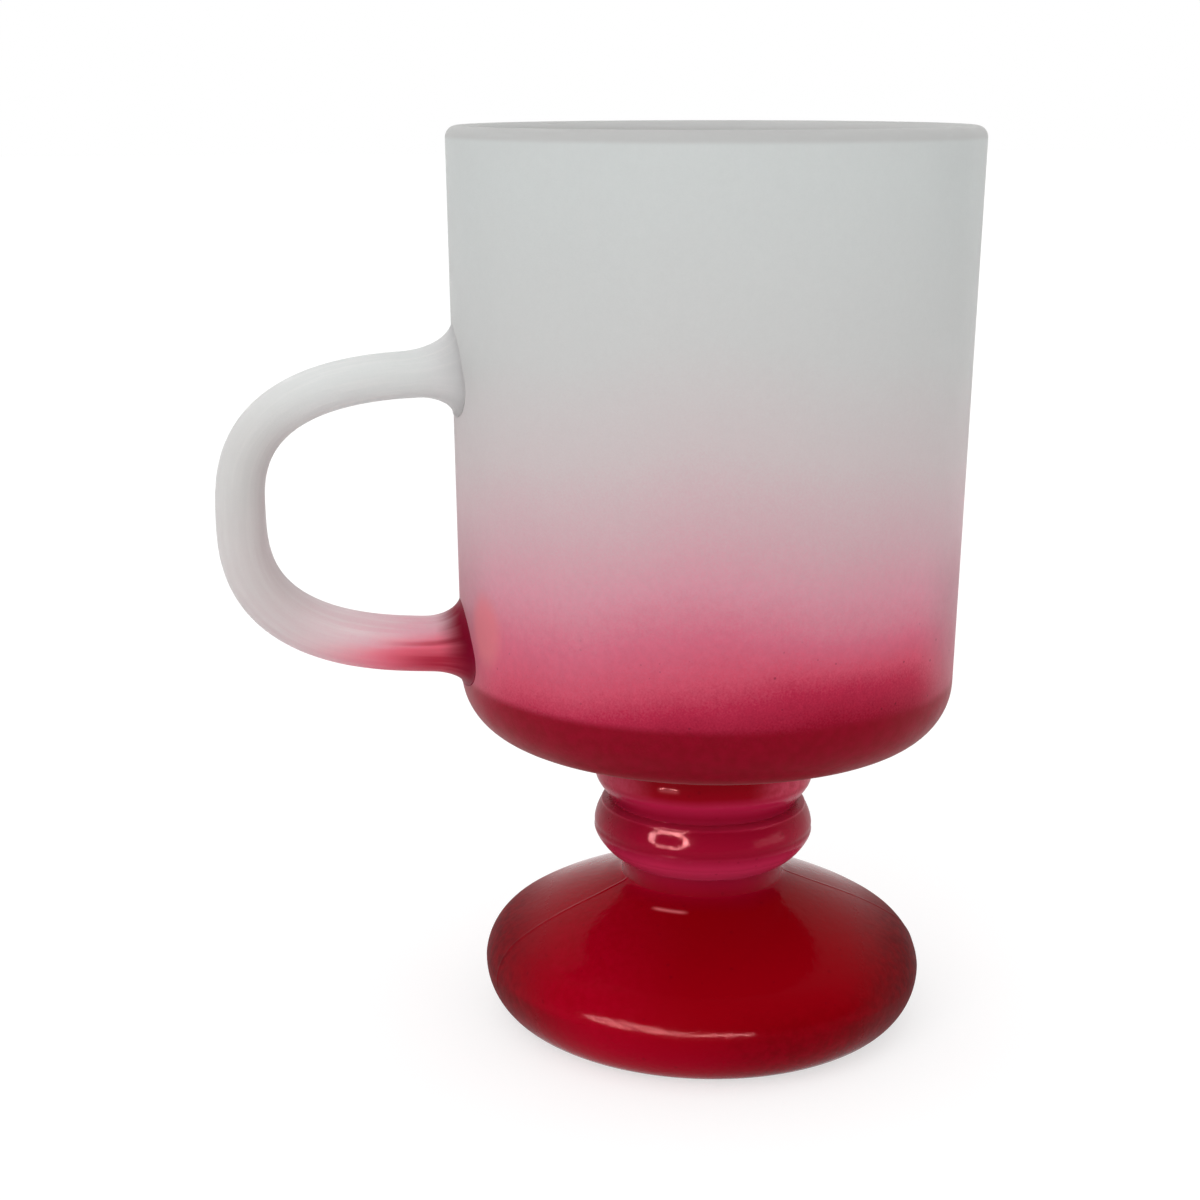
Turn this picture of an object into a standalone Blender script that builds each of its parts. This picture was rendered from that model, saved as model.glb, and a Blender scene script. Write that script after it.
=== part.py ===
"""A footed glass mug: a tall cup with a handle, on a short turned stem and a heavy domed foot.

Six pieces of glass are fused to make it. Each one is its own object, and between two of them
lies only the thin gap of the fused joint. All of them stand on the axis of the cup, and the
origin is under the middle of the whole mug, handle included.
"""

import math

import bmesh
import bpy
from mathutils import Matrix

# Driving dimensions of the cup, in metres
RIM_RADIUS = 0.0375          # outside, under the lip
BASE_RADIUS = 0.0358         # outside, where the wall turns in to the base
BOWL_HEIGHT = 0.0894         # from the seat on the stem to the top of the lip
WALL = 0.0033                # wall, and width of the rounded lip
FLOOR = 0.0100               # solid glass under the inside floor
OUTER_CORNER = 0.0088        # rounding from the wall to the base
INNER_CORNER = 0.0050        # rounding from the wall to the inside floor
BASE_SLOPE = math.radians(10.0)  # underside of the cup, rising outwards from the stem

# Driving dimensions of the stem
COLLAR_RADIUS = 0.0159       # ring under the cup
COLLAR_SEAT_RADIUS = 0.0146  # flat top of that ring, and the cup's seat on it
COLLAR_HEIGHT = 0.0077
COLLAR_SWELL_HEIGHT = 0.0038  # widest part of the ring, over its lower face
WAIST_RADIUS = 0.0140        # notch between ring and knop
KNOP_RADIUS = 0.0160
KNOP_HEIGHT = 0.0091
KNOP_SWELL_HEIGHT = 0.0054   # widest part of the knop, over its lower face
KNOP_FOOT_RADIUS = 0.0124    # lower edge of the knop
KNOP_TAPER = 1.4             # 2 would round the knop's lower half, 1 would make it a straight cone
NECK_RADIUS = 0.0120
NECK_HEIGHT = 0.0023
NECK_WAIST = 0.0003          # how far the neck draws in halfway up

# Driving dimensions of the foot
FOOT_RADIUS = 0.0324
FOOT_HEIGHT = 0.0213
FOOT_EDGE_HEIGHT = 0.0077    # widest part of the foot, over the table
FOOT_EDGE_ROUND = 0.0067     # rounding from the dome to the edge
FOOT_CROWN = 0.0006          # how far the dome swells halfway down
STANDING_RADIUS = 0.0252     # outside of the flat ring that the mug stands on
STANDING_WIDTH = 0.0042      # width of that ring
HOLLOW_DEPTH = 0.0065        # hollow under the foot

# Driving dimensions of the handle
HANDLE_REACH = 0.0307        # middle of the bar, out from the wall of the cup
HANDLE_RISE = 0.0392         # middle of the lower arm to middle of the upper arm
HANDLE_MIDDLE = 0.0357       # halfway between the arms, over the cup's seat
HANDLE_THICKNESS = 0.0065    # bar at its upper end, in the plane of the handle
HANDLE_LOWER_THICKNESS = 0.0076
HANDLE_WIDTH = 0.0092        # bar at its upper end, across the plane of the handle
HANDLE_FULLNESS = 2.7        # 2 would bend the bar to an ellipse, more makes it squarer
HANDLE_FLARE = 0.0034        # how far the pads on the cup stand out beyond the bar
HANDLE_FLARE_LENGTH = 0.0052  # stretch of the bar that rounds out to a pad
HANDLE_ROOT = 0.0030         # how far the bar runs on into the wall before it is cut to it

# Fits
JOINT_GAP = 0.0003           # left at each fused joint

# Fineness of the meshes
TURNED_STEPS = 48
QUARTER_STEPS = 6
CORNER_STEPS = 5
DOME_STEPS = 5
FLARE_STEPS = 5
BOW_STEPS = 18
BAR_ROUNDNESS = 6
MERGE_DISTANCE = 0.00001
SHARP_ANGLE = math.radians(35.0)

# Heights of the joints over the table
NECK_BASE = FOOT_HEIGHT + JOINT_GAP
KNOP_BASE = NECK_BASE + NECK_HEIGHT + JOINT_GAP
COLLAR_BASE = KNOP_BASE + KNOP_HEIGHT + JOINT_GAP
BOWL_BASE = COLLAR_BASE + COLLAR_HEIGHT + JOINT_GAP

# Middle of the round outer corner of the cup, over the cup's seat
CORNER_MIDDLE_RADIUS = BASE_RADIUS - OUTER_CORNER
CORNER_MIDDLE_HEIGHT = ((CORNER_MIDDLE_RADIUS - COLLAR_SEAT_RADIUS) * math.tan(BASE_SLOPE)
                        + OUTER_CORNER / math.cos(BASE_SLOPE))


def arc(centre, radius, first, last, steps):
    """Points (radius, height) on a circle, from the first angle to the last."""
    points = []
    for step in range(steps + 1):
        angle = first + (last - first) * step / steps
        points.append((centre[0] + radius * math.cos(angle), centre[1] + radius * math.sin(angle)))
    return points


def quarter(upright, level, fullness=2.0):
    """A rounded quarter that leaves the first point upright and reaches the second one level."""
    points = []
    for step in range(QUARTER_STEPS + 1):
        angle = 0.5 * math.pi * step / QUARTER_STEPS
        across = math.cos(angle) ** (2.0 / fullness)
        along = math.sin(angle) ** (2.0 / fullness)
        points.append((level[0] + (upright[0] - level[0]) * across,
                       upright[1] + (level[1] - upright[1]) * along))
    return points


def wall_radius(height):
    """Outside radius of the cup's straight wall, at a height over the cup's seat."""
    rise = BOWL_HEIGHT - 0.5 * WALL - CORNER_MIDDLE_HEIGHT
    return BASE_RADIUS + (RIM_RADIUS - BASE_RADIUS) * (height - CORNER_MIDDLE_HEIGHT) / rise


def bowl_profile():
    """Half section of the cup: from the middle of its floor, up inside, over the lip and down outside."""
    lip_height = BOWL_HEIGHT - 0.5 * WALL
    lip_middle = (RIM_RADIUS - 0.5 * WALL, lip_height)
    inner_height = FLOOR + INNER_CORNER
    inner_middle = (wall_radius(inner_height) - WALL - INNER_CORNER, inner_height)
    outer_middle = (CORNER_MIDDLE_RADIUS, CORNER_MIDDLE_HEIGHT)
    points = [(0.0, FLOOR)]
    points += arc(inner_middle, INNER_CORNER, -0.5 * math.pi, 0.0, CORNER_STEPS)
    points += arc(lip_middle, 0.5 * WALL, math.pi, 0.0, 2 * CORNER_STEPS)
    points += arc(outer_middle, OUTER_CORNER, 0.0, BASE_SLOPE - 0.5 * math.pi, CORNER_STEPS)
    points += [(COLLAR_SEAT_RADIUS, 0.0), (0.0, 0.0)]
    return points


def wall_clearance_profile():
    """Half section of what the handle is cut with: the cup's outside, larger by the joint's gap."""
    outer_middle = (CORNER_MIDDLE_RADIUS, CORNER_MIDDLE_HEIGHT)
    points = [(0.0, BOWL_HEIGHT), (wall_radius(BOWL_HEIGHT) + JOINT_GAP, BOWL_HEIGHT)]
    points += arc(outer_middle, OUTER_CORNER + JOINT_GAP, 0.0, BASE_SLOPE - 0.5 * math.pi, CORNER_STEPS)
    points += [(0.0, -JOINT_GAP)]
    return points


def collar_profile():
    """Half section of the rounded ring under the cup."""
    widest = (COLLAR_RADIUS, COLLAR_SWELL_HEIGHT)
    points = [(0.0, COLLAR_HEIGHT)]
    points += reversed(quarter(widest, (COLLAR_SEAT_RADIUS, COLLAR_HEIGHT)))
    points += quarter(widest, (WAIST_RADIUS, 0.0))[1:]
    points += [(0.0, 0.0)]
    return points


def knop_profile():
    """Half section of the knop, rounded above and drawn in to a narrower edge below."""
    widest = (KNOP_RADIUS, KNOP_SWELL_HEIGHT)
    points = [(0.0, KNOP_HEIGHT)]
    points += reversed(quarter(widest, (WAIST_RADIUS, KNOP_HEIGHT)))
    points += quarter(widest, (KNOP_FOOT_RADIUS, 0.0), KNOP_TAPER)[1:]
    points += [(0.0, 0.0)]
    return points


def neck_profile():
    """Half section of the neck, a short cylinder that draws in a little halfway up."""
    return [(0.0, NECK_HEIGHT), (NECK_RADIUS, NECK_HEIGHT),
            (NECK_RADIUS - NECK_WAIST, 0.5 * NECK_HEIGHT), (NECK_RADIUS, 0.0), (0.0, 0.0)]


def foot_profile():
    """Half section of the foot: a low dome, a fat round edge, a standing ring and a hollow."""
    edge_middle = (FOOT_RADIUS - FOOT_EDGE_ROUND, FOOT_EDGE_HEIGHT)
    out = NECK_RADIUS - edge_middle[0]
    up = FOOT_HEIGHT - edge_middle[1]
    # The dome leaves the neck's edge and touches the round edge at this angle
    touch = math.atan2(up, out) - math.acos(FOOT_EDGE_ROUND / math.hypot(out, up))
    hollow_radius = STANDING_RADIUS - STANDING_WIDTH
    edge = arc(edge_middle, FOOT_EDGE_ROUND, touch, 0.0, QUARTER_STEPS)
    points = [(0.0, FOOT_HEIGHT)]
    for step in range(DOME_STEPS):
        down = step / DOME_STEPS
        crown = 4.0 * FOOT_CROWN * down * (1.0 - down)
        points.append((NECK_RADIUS + (edge[0][0] - NECK_RADIUS) * down,
                       FOOT_HEIGHT + (edge[0][1] - FOOT_HEIGHT) * down + crown))
    points += edge
    points += quarter((FOOT_RADIUS, FOOT_EDGE_HEIGHT), (STANDING_RADIUS, 0.0))[1:]
    points += quarter((hollow_radius, 0.0), (0.0, HOLLOW_DEPTH))
    return points


def handle_stations():
    """Stations along the bar's middle line, from inside the wall at the upper pad to the lower pad.

    Each is (distance from the cup's axis, height over the middle of the handle, half thickness).
    """
    half_rise = 0.5 * HANDLE_RISE
    power = HANDLE_FULLNESS / 2.0
    flare_angles = []
    for step in range(FLARE_STEPS, -1, -1):
        out = HANDLE_FLARE_LENGTH * (1.0 - math.sin(0.5 * math.pi * step / FLARE_STEPS))
        flare_angles.append(math.acos((out / HANDLE_REACH) ** power))
    last = flare_angles[-1]
    bow_angles = [last - 2.0 * last * step / BOW_STEPS for step in range(1, BOW_STEPS)]
    angles = flare_angles + bow_angles + [-angle for angle in reversed(flare_angles)]

    stations = [root_station(1.0)]
    for angle in angles:
        level = math.copysign(abs(math.sin(angle)) ** (1.0 / power), angle)
        out = HANDLE_REACH * math.cos(angle) ** (1.0 / power)
        wall = wall_radius(HANDLE_MIDDLE + half_rise * level)
        stations.append((wall + out, half_rise * level, half_thickness(level, out)))
    stations.append(root_station(-1.0))
    return stations


def root_station(level):
    """End of the bar inside the wall, on the upper arm (level 1) or on the lower arm (level -1)."""
    height = 0.5 * HANDLE_RISE * level
    return wall_radius(HANDLE_MIDDLE + height) - HANDLE_ROOT, height, half_thickness(level, 0.0)


def half_thickness(level, out):
    """Half the bar's thickness: more towards the lower arm (level -1) and rounding out to the wall."""
    thickness = HANDLE_THICKNESS + (HANDLE_LOWER_THICKNESS - HANDLE_THICKNESS) * 0.5 * (1.0 - level)
    near = max(0.0, 1.0 - out / HANDLE_FLARE_LENGTH)
    return 0.5 * thickness + HANDLE_FLARE * (1.0 - math.sqrt(1.0 - near ** 2))


def glass(name, colour, roughness):
    """Material of one piece: its colour and how frosted it is."""
    material = bpy.data.materials.new(name)
    material.use_nodes = True
    shader = material.node_tree.nodes["Principled BSDF"]
    shader.inputs["Base Color"].default_value = (*colour, 1.0)
    shader.inputs["Roughness"].default_value = roughness
    shader.inputs["Metallic"].default_value = 0.0
    return material


def plain_mesh(source):
    """The shape of a curve or a profile with its modifiers, as a welded mesh with smooth rounds."""
    bpy.context.view_layer.update()
    evaluated = source.evaluated_get(bpy.context.evaluated_depsgraph_get())
    mesh = bpy.data.meshes.new_from_object(evaluated)
    work = bmesh.new()
    work.from_mesh(mesh)
    bmesh.ops.remove_doubles(work, verts=work.verts, dist=MERGE_DISTANCE)
    work.to_mesh(mesh)
    work.free()
    mesh.shade_smooth()
    mesh.set_sharp_from_angle(angle=SHARP_ANGLE)
    return mesh


def turned(name, profile, base, collection, parent):
    """A solid turned about the cup's axis, standing at a height over the table."""
    outline = bpy.data.meshes.new(name + "_outline")
    vertices = [(radius, 0.0, height) for radius, height in profile]
    edges = [(index, index + 1) for index in range(len(vertices) - 1)]
    outline.from_pydata(vertices, edges, [])
    source = bpy.data.objects.new(name + "_outline", outline)
    collection.objects.link(source)
    screw = source.modifiers.new("Turn", "SCREW")
    screw.axis = "Z"
    screw.angle = 2.0 * math.pi
    screw.steps = TURNED_STEPS
    screw.render_steps = TURNED_STEPS
    screw.use_merge_vertices = True
    screw.merge_threshold = MERGE_DISTANCE

    piece = bpy.data.objects.new(name, plain_mesh(source))
    collection.objects.link(piece)
    bpy.data.objects.remove(source)
    piece.parent = parent
    piece.location.z = base
    return piece


def handle_bar(name, collection, parent):
    """The bent bar, flaring to a pad at each end, before its ends are cut to the cup's wall."""
    curve = bpy.data.curves.new(name + "_line", "CURVE")
    curve.dimensions = "3D"
    curve.bevel_depth = 1.0
    curve.bevel_resolution = BAR_ROUNDNESS
    curve.use_fill_caps = True
    stations = handle_stations()
    line = curve.splines.new("POLY")
    line.points.add(len(stations) - 1)
    for point, (out, height, half) in zip(line.points, stations):
        point.co = (-out, 0.0, height, 1.0)
        point.radius = half
    source = bpy.data.objects.new(name + "_line", curve)
    collection.objects.link(source)

    mesh = plain_mesh(source)
    mesh.transform(Matrix.Diagonal((1.0, HANDLE_WIDTH / HANDLE_THICKNESS, 1.0, 1.0)))
    piece = bpy.data.objects.new(name, mesh)
    collection.objects.link(piece)
    bpy.data.objects.remove(source)
    piece.parent = parent
    piece.location.z = BOWL_BASE + HANDLE_MIDDLE
    return piece


def cut(piece, cutter):
    """Take the cutter's shape out of a piece."""
    boolean = piece.modifiers.new("Fit to " + cutter.name, "BOOLEAN")
    boolean.operation = "DIFFERENCE"
    boolean.solver = "EXACT"
    boolean.object = cutter


def build():
    for old in list(bpy.data.objects):
        bpy.data.objects.remove(old)
    mug = bpy.data.collections.new("footed_mug")
    cutters = bpy.data.collections.new("footed_mug_cutters")
    bpy.context.scene.collection.children.link(mug)
    bpy.context.scene.collection.children.link(cutters)

    # The handle reaches out along -X, so the cup's axis lies this far along +X
    middle_wall = wall_radius(HANDLE_MIDDLE)
    handle_edge = middle_wall + HANDLE_REACH + half_thickness(0.0, HANDLE_REACH)
    axis = bpy.data.objects.new("cup_axis", None)
    axis.location.x = 0.5 * (handle_edge - RIM_RADIUS)
    mug.objects.link(axis)

    foot = turned("foot", foot_profile(), 0.0, mug, axis)
    neck = turned("stem_neck", neck_profile(), NECK_BASE, mug, axis)
    knop = turned("stem_knop", knop_profile(), KNOP_BASE, mug, axis)
    collar = turned("stem_collar", collar_profile(), COLLAR_BASE, mug, axis)
    bowl = turned("bowl", bowl_profile(), BOWL_BASE, mug, axis)
    handle = handle_bar("handle", mug, axis)

    foot.data.materials.append(glass("red_foot", (0.36, 0.00, 0.02), 0.25))
    neck.data.materials.append(glass("red_neck", (0.40, 0.01, 0.06), 0.30))
    knop.data.materials.append(glass("red_knop", (0.42, 0.02, 0.07), 0.28))
    collar.data.materials.append(glass("red_collar", (0.44, 0.02, 0.07), 0.30))
    bowl.data.materials.append(glass("frosted_cup", (0.74, 0.55, 0.57), 0.55))
    handle.data.materials.append(glass("frosted_handle", (0.74, 0.60, 0.60), 0.50))

    clearance = turned("wall_clearance", wall_clearance_profile(), BOWL_BASE, cutters, axis)
    clearance.hide_render = True
    clearance.display_type = "WIRE"
    cut(handle, clearance)


build()
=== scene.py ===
"""Looks of a footed glass mug: a frosted cup that fades from white to red, on a glossy red stem and foot."""

import math

import bpy
from mathutils import Matrix, Vector


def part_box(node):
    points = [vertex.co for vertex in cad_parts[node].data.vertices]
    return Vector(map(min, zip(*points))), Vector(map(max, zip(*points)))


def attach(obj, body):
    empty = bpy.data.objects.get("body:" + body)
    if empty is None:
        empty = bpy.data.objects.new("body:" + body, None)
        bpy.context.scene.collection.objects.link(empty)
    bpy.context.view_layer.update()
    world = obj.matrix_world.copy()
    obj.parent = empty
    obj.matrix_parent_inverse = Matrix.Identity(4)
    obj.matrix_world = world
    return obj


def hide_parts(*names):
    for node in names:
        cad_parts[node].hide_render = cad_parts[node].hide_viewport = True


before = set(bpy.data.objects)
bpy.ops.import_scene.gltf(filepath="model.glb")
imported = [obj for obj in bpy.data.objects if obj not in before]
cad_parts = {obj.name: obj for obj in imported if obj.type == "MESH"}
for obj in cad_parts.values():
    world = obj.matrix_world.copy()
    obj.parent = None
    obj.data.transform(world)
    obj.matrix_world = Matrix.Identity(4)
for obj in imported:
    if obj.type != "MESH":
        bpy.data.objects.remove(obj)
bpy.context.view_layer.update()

MM = 0.001


def paint(red, green, blue):
    """A colour as a screen shows it, 0 to 255, in the linear numbers that Blender takes."""
    linear = []
    for part in (red, green, blue):
        share = part / 255.0
        linear.append(share / 12.92 if share <= 0.04045 else ((share + 0.055) / 1.055) ** 2.4)
    return (*linear, 1.0)


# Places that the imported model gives, in metres
CUP_LOW, CUP_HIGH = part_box("bowl")
COLLAR_LOW, COLLAR_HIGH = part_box("stem_collar")
KNOP_LOW, KNOP_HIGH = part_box("stem_knop")
NECK_LOW, NECK_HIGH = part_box("stem_neck")
FOOT_LOW, FOOT_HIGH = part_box("foot")
CUP_AXIS = 0.5 * (CUP_LOW.x + CUP_HIGH.x)

# Cup
RIM_RADIUS = 0.5 * (CUP_HIGH.x - CUP_LOW.x)
BASE_RADIUS = 35.8 * MM
WALL = 3.3 * MM
CUP_FLOOR = 10.0 * MM
OUTER_CORNER = 8.8 * MM
INNER_CORNER = 5.0 * MM
BASE_SLOPE = math.radians(10.0)
SEAT_RADIUS = 14.6 * MM
CORNER_RADIUS = BASE_RADIUS - OUTER_CORNER
CORNER_HEIGHT = (CUP_LOW.z + (CORNER_RADIUS - SEAT_RADIUS) * math.tan(BASE_SLOPE)
                 + OUTER_CORNER / math.cos(BASE_SLOPE))
LIP_HEIGHT = CUP_HIGH.z - 0.5 * WALL
LIP_INSIDE_END = 0.55 * math.pi
LIP_STEPS = 8
WALL_TAPER = (RIM_RADIUS - BASE_RADIUS) / (LIP_HEIGHT - CORNER_HEIGHT)

# Stem
OVERLAP = 0.45 * MM
COLLAR_FULLER = 0.15 * MM
COLLAR_RADIUS = 0.5 * (COLLAR_HIGH.x - COLLAR_LOW.x) + COLLAR_FULLER
COLLAR_SWELL = COLLAR_LOW.z + 3.5 * MM
COLLAR_TOP_RADIUS = 15.6 * MM
COLLAR_FALL = 1.3 * MM
WAIST_DROP = 0.4 * MM
WAIST_RADIUS = 13.8 * MM
WAIST_FLARE = 0.9 * MM
WAIST_RISE = 1.4 * MM
KNOP_FULLER = 0.2 * MM
KNOP_RADIUS = 0.5 * (KNOP_HIGH.x - KNOP_LOW.x) + KNOP_FULLER
KNOP_TOP = KNOP_HIGH.z - 0.75 * WAIST_DROP
KNOP_SWELL = KNOP_LOW.z + 4.4 * MM
KNOP_ROUND = 7.0 * MM
KNOP_SHOULDER = math.radians(33.0)
SHOULDER_START = 0.35 * MM
SHOULDER_END = (0.25 * MM, 0.1 * MM)
KNOP_EDGE_RADIUS = 12.4 * MM
KNOP_TAPER = 1.4
NECK_RADIUS = 12.0 * MM
NECK_WAIST = 0.05 * MM
NECK_STEPS = 12

# Small rings and grooves turned into the knop, each (height, size, half width)
KNOP_RINGS = ((32.6 * MM, 0.12 * MM, 0.20 * MM), (28.95 * MM, -0.10 * MM, 0.45 * MM),
              (26.3 * MM, -0.05 * MM, 0.18 * MM), (24.4 * MM, 0.10 * MM, 0.18 * MM))
RING_STEP = 0.16 * MM

# Foot
FOOT_RADIUS = 0.5 * (FOOT_HIGH.x - FOOT_LOW.x)
FOOT_EDGE = 8.0 * MM
EDGE_ROUND = 3.0 * MM
EDGE_ANGLE = math.radians(7.0)
SHOULDER_ROUND = 7.5 * MM
SHOULDER_ANGLE = math.radians(56.0)
FOOT_CROWN = 0.52 * MM
CROWN_LEAN = 1.5
DOME_STEPS = 16
FOOT_TOP = (NECK_RADIUS - 0.2 * MM, FOOT_HIGH.z + 0.5 * MM)
FILLET_PULLS = ((0.1 * MM, -0.5 * MM), (0.5 * MM, -0.8 * MM))
FILLET_END = (14.3 * MM, 20.3 * MM)
STANDING_RADIUS = 25.2 * MM
STANDING_WIDTH = 4.2 * MM
HOLLOW_DEPTH = 6.5 * MM

# Mould seams: two angles in degrees, height, half width, and how many points of the outline they cross
NO_SEAMS = (0.0, 0.0, 0.0, 1.0, 0)
FOOT_SEAMS = (-168.5, -6.0, 0.07 * MM, 0.35 * MM, 60)

# Handle
HANDLE_REACH = 30.7 * MM
HANDLE_RISE = 39.2 * MM
HANDLE_MIDDLE = CUP_LOW.z + 35.7 * MM
HANDLE_FULLNESS = 2.7
BAR_THICK = 6.5 * MM
BAR_THICK_LOW = 7.6 * MM
BAR_WIDE = 9.2 / 6.5
BAR_SQUARENESS = 2.3
BAR_STEPS = 64
BOW_STEPS = 72
PAD_STEPS = 16

# Flare of the pads over and under the bar and to its sides, each (size, length)
OVER_UPPER_PAD = (4.6 * MM, 7.2 * MM)
UNDER_UPPER_PAD = (2.8 * MM, 5.0 * MM)
OVER_LOWER_PAD = (3.4 * MM, 5.2 * MM)
UNDER_LOWER_PAD = (1.9 * MM, 4.2 * MM)
PAD_WIDENING = (2.9 * MM, 6.0 * MM)
PAD_SPREAD = 0.30
PAD_LENGTH = 7.2 * MM
PAD_SINK = 0.25 * MM

# Meshes
ROUND_STEPS = 192
FOOT_STEPS = 720
WELD = 0.001 * MM
SHARP_EDGE = math.radians(40.0)

# Colours of the coat by height, each (height in mm, colour)
FADE = ((44.0, (132, 0, 24)), (52.0, (166, 6, 46)), (57.0, (206, 48, 84)), (61.0, (232, 94, 122)),
        (67.0, (236, 124, 151)), (74.0, (237, 166, 184)), (82.0, (227, 190, 198)), (92.0, (222, 210, 211)),
        (106.0, (218, 219, 218)), (129.0, (217, 221, 220)))
# The stem's colours are partly painted reflection: pink where the faces under the collar and under the knop
# turn down to the bright floor, and dark red at the top of the collar for the cup's dark underside
STEM_COLOURS_AND_REFLECTIONS = ((21.0, (136, 0, 18)), (22.2, (140, 2, 30)), (23.8, (150, 8, 44)), (24.4, (200, 52, 90)),
                (27.0, (196, 42, 82)), (28.8, (148, 10, 42)), (30.0, (158, 14, 46)), (32.2, (154, 10, 42)),
                (32.8, (172, 30, 62)), (34.0, (158, 18, 50)), (36.2, (186, 32, 72)), (37.6, (156, 0, 24)),
                (41.5, (136, 0, 8)))
# The foot's red grows brighter and pinker towards the standing edge, painted light from below
FOOT_COLOURS_AND_LIGHT_FROM_BELOW = ((0.0, (166, 0, 38)), (5.0, (154, 0, 28)), (10.0, (140, 0, 14)), (20.0, (140, 0, 12)),
                (22.0, (142, 4, 34)))

# From here a stretch is (from, to) or (from, to, first value, last value), and a tint is (share, colour)

# Sprayed fade
MOTTLE_EDGES = (0.35, 0.65)
MOTTLE_BY_HEIGHT = (90.0 * MM, 62.0 * MM, 0.012, 0.06)
MOTTLE_COLOUR = paint(40, 0, 10)
MIST_EDGES = (-0.2, 0.2)
FROST_BY_HEIGHT = (62.0 * MM, 90.0 * MM, 0.0, 0.10)
FROST_COLOUR = paint(238, 236, 235)

# Frost grain, and droplets, which scatter as (spacing scale, droplet size)
GRAIN_SHARE = 0.4
CLOUD_SHARE = 0.6
GRAIN_EDGES = (0.35, 0.65)
FROST_SCALE = 3200.0
FROST_DEPTH = 0.02 * MM
FROST_GLOSS = 0.06
FROST_BENDS = 1.25
DROPLET_LOTS = (0.55, 1.0)
DROPLET_EDGE = (0.0, 0.06)

# Coat outside the cup, where a place across the front goes from -1 to 1
FRONT_TURN = math.radians(-12.0)
# The arch raises the fade towards both sides, partly as painted sheen
CUP_ARCH_AND_SHEEN = (0.0, 0.65, 1.0 * MM, 4.8 * MM)
CUP_ARCH_AND_SHEEN_ENDS = (0.75, 0.95, 0.0, 2.0 * MM)
FAR_SIDE_START = (0.0, 0.55)
FAR_SIDE_END = (1.0, 0.78)
FAR_SIDE_DROP = (58.0 * MM, 67.0 * MM, -6.0 * MM, -0.4 * MM)
CUP_DRIFT = 4.0 * MM
CUP_MIST = 6.0 * MM
CUP_SPECKS = (820.0, 0.19)
CUP_SPECKS_HEIGHT = (70.0 * MM, 58.0 * MM)
CUP_SPECKS_ACROSS = (-0.6, 0.6, 0.45, 1.0)
CUP_SPECKS_TINT = (0.6, paint(96, 8, 30))
# Painted sheen, greyer at both sides where the frost is seen edge-on
GRAZING_SHEEN_ACROSS = (0.78, 0.97)
GRAZING_SHEEN_HEIGHT = (80.0 * MM, 64.0 * MM)
GRAZING_SHEEN_TINT = (0.34, paint(140, 120, 120))
# Painted light, a paler rose patch where the handle's lower pad shows through the wall
PAD_SHOWS_THROUGH_MIDDLE = (-17.0 * MM, -12.4 * MM, 62.5 * MM)
PAD_SHOWS_THROUGH_HALF = (4.5 * MM, 4.5 * MM, 5.5 * MM)
PAD_SHOWS_THROUGH_EDGE = (1.2, 0.5)
PAD_SHOWS_THROUGH_TINT = (0.75, paint(246, 140, 150))
# Painted shade on the base below the inside floor
FLOOR_SHOWS = 53.4 * MM
BASE_BLUR = 0.7 * MM
BASE_ACROSS = (0.7, 1.0, 0.92, 0.6)
BASE_CLOUDS = (0.3, 0.7)
BASE_SHADED_REDS = (paint(145, 0, 28), paint(159, 0, 36))
LIP_BAND = (LIP_HEIGHT - 0.3 * MM, LIP_HEIGHT + 0.4 * MM)
LIP_TINT = (0.55, paint(196, 193, 192))
CUP_ROUGHNESS = (0.40, 0.52)
CUP_PASSES = 0.35
CUP_SHEEN = 0.30
CUP_SHEEN_SPREAD = 0.30
CUP_SHEEN_COLOUR = (0.42, 0.40, 0.38, 1.0)

# Finish inside the cup
INSIDE_CLEAR = (58.0 * MM, 95.0 * MM, 0.08, 0.85)
INSIDE_COLOUR = paint(250, 252, 251)
INSIDE_ROUGHNESS = (0.4, 0.75, 0.02, 0.10)
INSIDE_WAVE = 0.04 * MM
INSIDE_PASSES = 0.5
INSIDE_BENDS = 1.3

# Coat of the handle, by the length left to the lower pad and by place from the inner to the outer side
ARM_NEAR_CUP = (20.0 * MM, 6.0 * MM)
ARM_LIFT = (0.0, 1.0, 24.0 * MM, 15.0 * MM)
BAR_DRIFT = 3.0 * MM
BAR_MIST = 3.0 * MM
STREAK_DRAWN = 12.0
STREAK_WHITE = (0.40, 0.75, 0.12, 0.45)
STREAK_COLOUR = paint(238, 236, 234)
STREAK_BUMP = 4.0
BOW_MIDDLE = 0.52
BOW_ENDS = (0.30, 0.12)
BOW_TINT = (0.45, paint(190, 186, 184))
RED_WAVER = 0.9
RED_START = (22.0 * MM, 4.0 * MM, 0.25, -0.60)
RED_EDGE = (-0.35, 0.45)
RED_REACH = (27.0 * MM, 8.0 * MM)
RED_TINT = (0.9, paint(238, 110, 134))
RUN_DRAWN = 16.0
RUN_WAVER = 0.35
THIN_RUN_PLACE = -0.26
THIN_RUN_EDGE = (0.15, 0.02, 0.0, 0.65)
BROAD_RUN_EDGE = (-0.16, 0.16, 0.0, 0.9)
RUN_REACH = (14.5 * MM, 3.5 * MM)
RUN_STREAKS = (0.35, 0.65, 1.0, 0.8)
RUN_COLOUR = paint(174, 20, 54)
UNDERSIDE_EDGE = (0.55, 0.85)
UNDERSIDE_TINT = (0.5, paint(222, 88, 106))
# Painted shade, dark maroon in the thick lower pad
LOWER_PAD_WAVER = 2.0 * MM
LOWER_PAD_LEAN = 0.5 * MM
LOWER_PAD_SHADE_REACH = (4.4 * MM, 0.6 * MM)
LOWER_PAD_SHADE = paint(132, 6, 40)
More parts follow.
